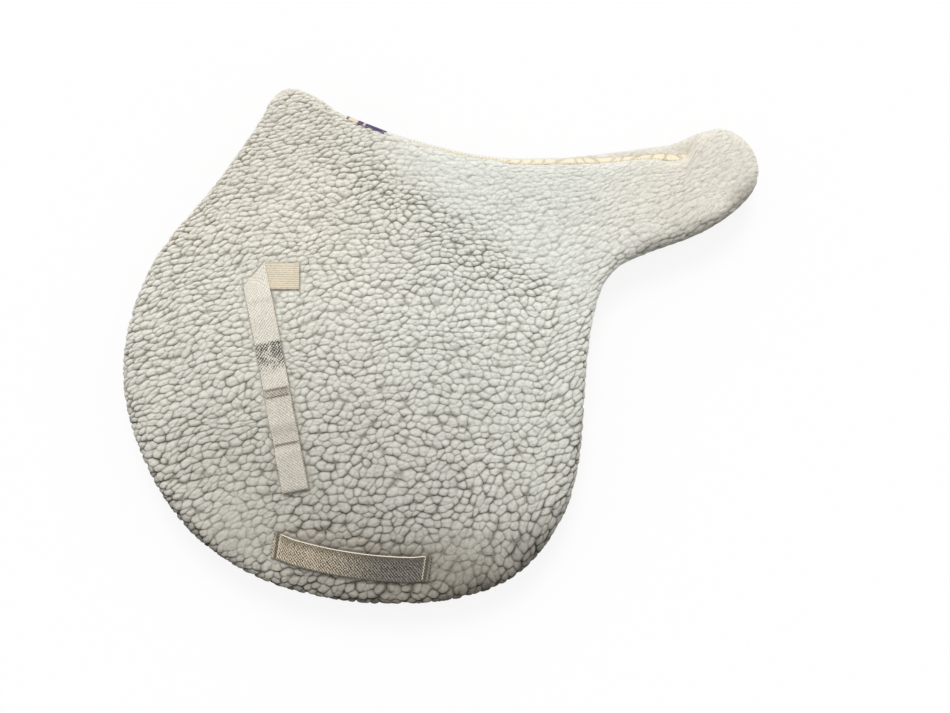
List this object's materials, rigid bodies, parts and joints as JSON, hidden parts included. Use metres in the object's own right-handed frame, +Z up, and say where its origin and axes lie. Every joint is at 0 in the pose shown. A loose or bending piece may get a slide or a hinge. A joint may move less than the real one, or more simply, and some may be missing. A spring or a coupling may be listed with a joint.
{
  "type": "saddle pad",
  "caption": "Fleece saddle pad for a jumping saddle, folded along its spine, with a girth strap and a looped webbing tab on each side.",
  "frame": {"origin": "middle of the folded pad's footprint, on the outer face that it lies on", "axes": "+X along the spine from the withers to the tail, +Y from the hem up to the spine, +Z up through the folded pad, from the off side to the near side"},
  "size_m": [0.6014, 0.495, 0.0495],
  "materials": {
    "fleece": "cream wool fleece with tight curls",
    "foam": "soft open foam",
    "webbing": "cream cotton webbing, soiled on the girth strap",
    "tape": "cream satin binding tape",
    "thread": "cream polyester thread",
    "label": "woven label with plain colour bands"
  },
  "bodies": {
    "off_side": {"off_outer_fleece": "fleece", "off_lining_fleece": "fleece", "off_foam_core": "foam", "off_edge_seam": "thread", "off_girth_strap": "webbing", "off_girth_front_stitch": "thread", "off_girth_rear_stitch": "thread", "off_tab_root": "webbing", "off_tab_root_stitch": "thread"},
    "spine": {"spine_tape": "tape", "spine_near_stitch": "thread", "spine_off_stitch": "thread", "spine_label": "label", "spine_label_stitch": "thread", "spine_front_seam": "thread", "spine_rear_seam": "thread"},
    "near_side": {"near_outer_fleece": "fleece", "near_lining_fleece": "fleece", "near_foam_core": "foam", "near_edge_seam": "thread", "near_girth_strap": "webbing", "near_girth_front_stitch": "thread", "near_girth_rear_stitch": "thread", "near_tab_root": "webbing", "near_tab_root_stitch": "thread"},
    "near_tab": {"near_tab_strap": "webbing", "near_tab_upper_stitch": "thread", "near_tab_lower_stitch": "thread"},
    "off_tab": {"off_tab_strap": "webbing", "off_tab_upper_stitch": "thread", "off_tab_lower_stitch": "thread"}
  },
  "joints": [
    {"name": "off_fold", "type": "hinge", "parent": "off_side", "child": "spine", "pos_m": [0, 0.249, 0.01725], "axis": [-1, 0, 0], "range_deg": [0, 55]},
    {"name": "near_fold", "type": "hinge", "parent": "spine", "child": "near_side", "pos_m": [0, 0.249, 0.02725], "axis": [-1, 0, 0], "range_deg": [0, 55]},
    {"name": "near_tab_turn", "type": "hinge", "parent": "near_side", "child": "near_tab", "pos_m": [-0.1695, 0.0745, 0.04375], "axis": [-0.5678, -0.8231, 0], "range_deg": [0, 135]},
    {"name": "off_tab_turn", "type": "hinge", "parent": "off_side", "child": "off_tab", "pos_m": [-0.1695, 0.0745, 0.00655], "axis": [0.5678, 0.8231, 0], "range_deg": [0, 135]}
  ],
  "couplings": [
    {"joint": "near_fold", "follows": "off_fold", "ratio": 1}
  ]
}
